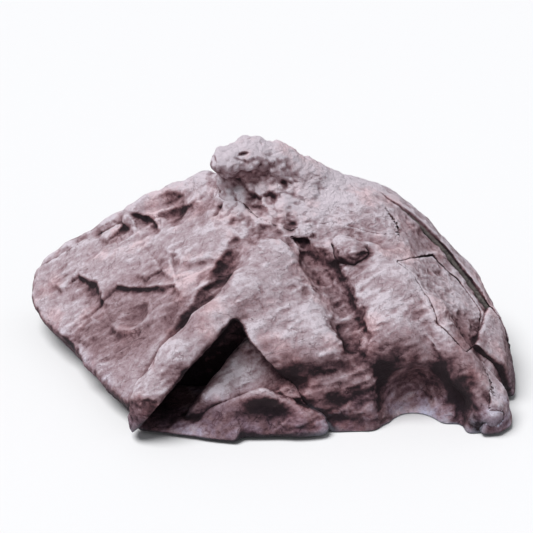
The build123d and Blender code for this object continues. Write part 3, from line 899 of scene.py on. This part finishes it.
def make_rock():
    """Painted resin rock, with painted light and shade in its colour: lilac pink where it looks up and maroon
    where it turns under or closes in, pale on ridges as painted highlight, bluish at the foot with painted
    bluish highlights on its edges, and bare laminate inside."""
    n = Nodes("rock_paint_and_painted_light")
    names = ("painted_shade", "edge", "skin", "slab", "paint_and_shade", "crest")
    painted_shade, edge, skin, slab, paint_and_shade, crest = (n.attribute(name) for name in names)
    parts = n.add("ShaderNodeSeparateXYZ")
    n.put(parts.inputs[0], n.place)
    height = parts.outputs[2]
    turned = n.add("ShaderNodeSeparateXYZ")
    n.put(turned.inputs[0], n.add("ShaderNodeTexCoord").outputs["Normal"])
    upward = turned.outputs[2]

    def around(value, amount):
        """A noise centred on zero and scaled."""
        return n.math("MULTIPLY", n.math("SUBTRACT", value, 0.5), amount)

    broad = n.noise(11, 3, 0.5)
    mottle = n.noise(45, 6, 0.65, distortion=0.5)
    slab_streaks = n.noise(75, 6, 0.62, n.streaked(SLAB_GRAIN, 4.0))
    front_streaks = n.noise(75, 6, 0.62, n.streaked(FRONT_GRAIN, 4.0))
    streaks = n.math("ADD", n.math("MULTIPLY", slab_streaks, slab),
                     n.math("MULTIPLY", front_streaks, n.math("SUBTRACT", 1.0, slab)))
    pores = n.noise(170, 6, 0.68)
    grain = n.noise(480, 4, 0.7)

    crack_lines = n.span(n.cells(46, "DISTANCE_TO_EDGE", n.bent(0.016, 60)), 0.055, 0.0)
    fine_lines = n.span(n.cells(120, "DISTANCE_TO_EDGE", n.bent(0.009, 130)), 0.070, 0.0)
    patches = n.span(n.noise(38, 4, 0.6), 0.54, 0.64)
    fine_patches = n.span(n.noise(90, 3, 0.6), 0.52, 0.62)
    coarse_cracks = n.math("MULTIPLY", crack_lines, patches)
    cracks = n.math("MAXIMUM", coarse_cracks, n.math("MULTIPLY", fine_lines, fine_patches))

    # Painted light and shade: the tone starts lighter where the surface looks up and darker where it turns
    # under.
    tone = n.span(upward, -0.2, 0.88, 0.19, 0.88)
    influences = [
        # Painted shade in closed-in corners and hollows, weaker on the crest.
        n.math("MULTIPLY", n.span(painted_shade, 0.08, 0.62), n.span(crest, 0.0, 1.0, -0.62, -0.26)),
        # Painted highlight on ridges and painted shade in creases, from the curvature; the noises are the
        # paint's own variation.
        n.math("MULTIPLY", edge, 0.34), around(broad, 0.26), around(mottle, 0.28), around(streaks, 0.42),
        # Darker towards the bottom, partly the paint and partly painted shade near the ground; the tone
        # patches are partly paint and partly painted light and shade.
        around(pores, 0.50), around(grain, 0.40), n.span(height, 0.075, 0.0, 0.0, -0.14), paint_and_shade,
        n.math("MULTIPLY", cracks, -0.15),
    ]
    for influence in influences:
        tone = n.math("ADD", tone, influence)
    # The ramp turns the tone into colour, painted light and shade included.
    paint_and_light = n.add("ShaderNodeValToRGB")
    n.put(paint_and_light.inputs[0], tone)
    stops = paint_and_light.color_ramp.elements
    while len(stops) < len(PAINT_AND_SHADE_RAMP):
        stops.new(0.5)
    for stop, (place, colour) in zip(stops, PAINT_AND_SHADE_RAMP):
        stop.position, stop.color = place, (*colour, 1)
    face = paint_and_light.outputs[0]

    warm = n.math("MULTIPLY", n.span(n.noise(24, 4, 0.6), 0.48, 0.66), n.span(edge, -0.4, 0.3, 0.35, 0.8))
    face = n.mix(warm, face, (1.12, 0.93, 0.90), "MULTIPLY")
    cool = n.math("MULTIPLY", n.span(height, 0.04, 0.005), n.span(mottle, 0.38, 0.6))
    face = n.mix(n.math("MULTIPLY", cool, 0.7), face, (0.90, 1.06, 1.30), "MULTIPLY")
    # Painted highlight: pale bluish light on ridges and edges near the foot, in patches.
    lit_edge = n.span(n.math("ADD", edge, around(pores, 1.2)), 0.1, 0.7)
    rim = n.math("MULTIPLY", n.span(height, 0.028, 0.004), lit_edge)
    face = n.mix(n.math("MULTIPLY", rim, n.span(broad, 0.45, 0.6, 0.05, 0.6)), face, (0.42, 0.43, 0.52))

    bare = n.mix(n.noise(120, 5, 0.7), (0.30, 0.27, 0.25), (0.17, 0.15, 0.145))
    colour = n.mix(n.span(skin, 0.05, 0.5), bare, face)

    pitted = n.math("SUBTRACT", pores, n.math("MULTIPLY", cracks, 0.16))
    coarse = n.bump(n.math("ADD", n.math("MULTIPLY", streaks, 1.1), pitted), 0.0042, 0.9)
    fine = n.bump(grain, 0.0015, 0.8, coarse)
    rough = n.span(mottle, 0.3, 0.7, 0.70, 0.88)
    return n.finish(Base_Color=colour, Roughness=rough, Normal=fine, Specular_IOR_Level=0.3)


def make_resin():
    """Bare laminated resin of the stiffening ring."""
    n = Nodes("bare_resin")
    fibres = n.noise(320, 5, 0.7, n.stretched((1, 1, 4)))
    colour = n.mix(n.span(fibres, 0.3, 0.7), (0.24, 0.215, 0.19), (0.36, 0.33, 0.29))
    rough = n.span(fibres, 0.3, 0.7, 0.5, 0.7)
    return n.finish(Base_Color=colour, Roughness=rough, Normal=n.bump(fibres, 0.0008))


def make_rubber():
    n = Nodes("foot_rubber")
    grain = n.noise(900, 3, 0.6)
    colour = n.mix(n.span(n.noise(90, 4), 0.35, 0.7), (0.018, 0.018, 0.019), (0.035, 0.034, 0.034))
    rough = n.span(grain, 0.3, 0.7, 0.7, 0.9)
    return n.finish(Base_Color=colour, Roughness=rough, Normal=n.bump(grain, 0.0003))


def make_plastic():
    n = Nodes("peg_nylon")
    grain = n.noise(600, 3, 0.5)
    colour = n.mix(n.span(n.noise(60, 3), 0.3, 0.7), (0.50, 0.47, 0.42), (0.60, 0.57, 0.51))
    rough = n.span(grain, 0.3, 0.7, 0.35, 0.5)
    return n.finish(Base_Color=colour, Roughness=rough, Normal=n.bump(grain, 0.0001))


def make_steel(name, tone):
    """Brushed stainless steel."""
    n = Nodes(name)
    brushed = n.noise(700, 4, 0.6, n.stretched((1, 1, 0.08)))
    colour = n.mix(n.span(brushed, 0.3, 0.7), tuple(0.8 * t for t in tone), tone)
    rough = n.span(brushed, 0.3, 0.7, 0.25, 0.42)
    return n.finish(Base_Color=colour, Metallic=1.0, Roughness=rough, Normal=n.bump(brushed, 0.0001))


rock_material = make_rock()


def dress(node, material):
    """Give a CAD node that stays visible its finish."""
    slots = frame["nodes"][node].data.materials
    slots.clear()
    slots.append(material)


dress("base_ring", make_resin())
dress("foot_pads", make_rubber())
dress("hatch_pegs", make_plastic())
bright_steel = make_steel("fastener_steel", (0.62, 0.61, 0.59))
for fastener in ("pad_screws", "pad_nuts", "seam_bolts", "seam_nuts", "seam_washers"):
    dress(fastener, bright_steel)
dress("bond_pins", make_steel("pin_steel", (0.50, 0.50, 0.49)))


# ---------------------------------------------------------------------------------------------
# The castings

def crest_zone(points):
    """Share of knobbly crest texture: all of the crest, and the rock just below it."""
    return 1 - ramp(crest_form(points), 2, 16)


def all_crest(points):
    return np.ones_like(points[0])


def slab_zone(points):
    """Share of the left slab's stepped layers."""
    slab = ramp(-plane(points, LEFT_SLAB), 16, 5)
    return slab * ramp(-chain(points, DIAGONAL_RIDGE), -14, -24) * (1 - crest_zone(points))


def box_of(node, grow=9.0):
    low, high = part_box(node)
    return [c / MM - grow for c in low], [c / MM + grow for c in high]


SHELL_STEP, REAR_STEP, CREST_STEP, FINE_STEP = 1.8, 2.3, 1.5, 1.3  # mesh sizes
casting("Rock_front", front_piece, front_skin, box_of("front_shell"), SHELL_STEP, "front_shell", "shell",
        crest_zone, slab_zone)
casting("Rock_rear", rear_piece, rear_form, box_of("rear_shell"), REAR_STEP, "rear_shell", "shell",
        crest_zone, slab_zone)
casting("Rock_crest", crest_piece, crest_form, box_of("crest_crag"), CREST_STEP, "crest_crag", "shell",
        all_crest)
casting("Rock_hatch", hatch_piece, shell_form, box_of("flank_hatch", 4), FINE_STEP, "flank_hatch", "hatch",
        crest_zone, slab_zone)
for name, form, node, slot, strength in [
    ("Rock_boss", boss_form, "boss_stone", "stone_small", 1.5),
    ("Rock_foot", foot_form, "foot_slab", "stone_small", 0.8),
    ("Rock_wedge", wedge_form, "wedge_slab", "stone_small", 0.7),
    ("Rock_apron", apron_form, "cave_apron", "stone_cave", 0.9),
    ("Rock_sill", sill_form, "sill_rock", "stone_cave", 0.8),
]:
    casting(name, seated(form), form, box_of(node, 12), FINE_STEP, node, "shell", strength=strength)


# ---------------------------------------------------------------------------------------------
# Stage

def make_floor():
    bpy.ops.mesh.primitive_plane_add(size=40)
    floor = bpy.context.object
    floor.name = "floor"
    n = Nodes("studio_floor")
    floor.data.materials.append(n.finish(Base_Color=(0.80, 0.80, 0.81), Roughness=0.9))


def add_sky_light(towards, strength, spread):
    """Broad soft light, like an overcast sky, from one direction."""
    light = bpy.data.lights.new("sky", "SUN")
    light.energy, light.angle = strength, math.radians(spread)
    lamp = bpy.data.objects.new("sky", light)
    bpy.context.scene.collection.objects.link(lamp)
    lamp.rotation_euler = (-Vector(towards)).to_track_quat("-Z", "Y").to_euler()


make_floor()
world = bpy.data.worlds.new("studio")
bpy.context.scene.world = world
world.use_nodes = True
world.node_tree.nodes["Background"].inputs["Color"].default_value = (0.95, 0.97, 1.0, 1)
world.node_tree.nodes["Background"].inputs["Strength"].default_value = 0.30
add_sky_light((-0.38, -0.18, 1.0), 3.2, 38)

TARGET = Vector((-0.0065, 0, 0.101))
DISTANCE, ELEVATION = 1.287, math.radians(25)
camera_data = bpy.data.cameras.new("camera")
camera_data.lens, camera_data.sensor_width = 101.1, 36
camera = bpy.data.objects.new("camera", camera_data)
bpy.context.scene.collection.objects.link(camera)
camera.location = TARGET + DISTANCE * Vector((0, -math.cos(ELEVATION), math.sin(ELEVATION)))
camera.rotation_euler = (TARGET - camera.location).to_track_quat("-Z", "Y").to_euler()
bpy.context.scene.camera = camera
bpy.context.scene.view_settings.view_transform = "Standard"
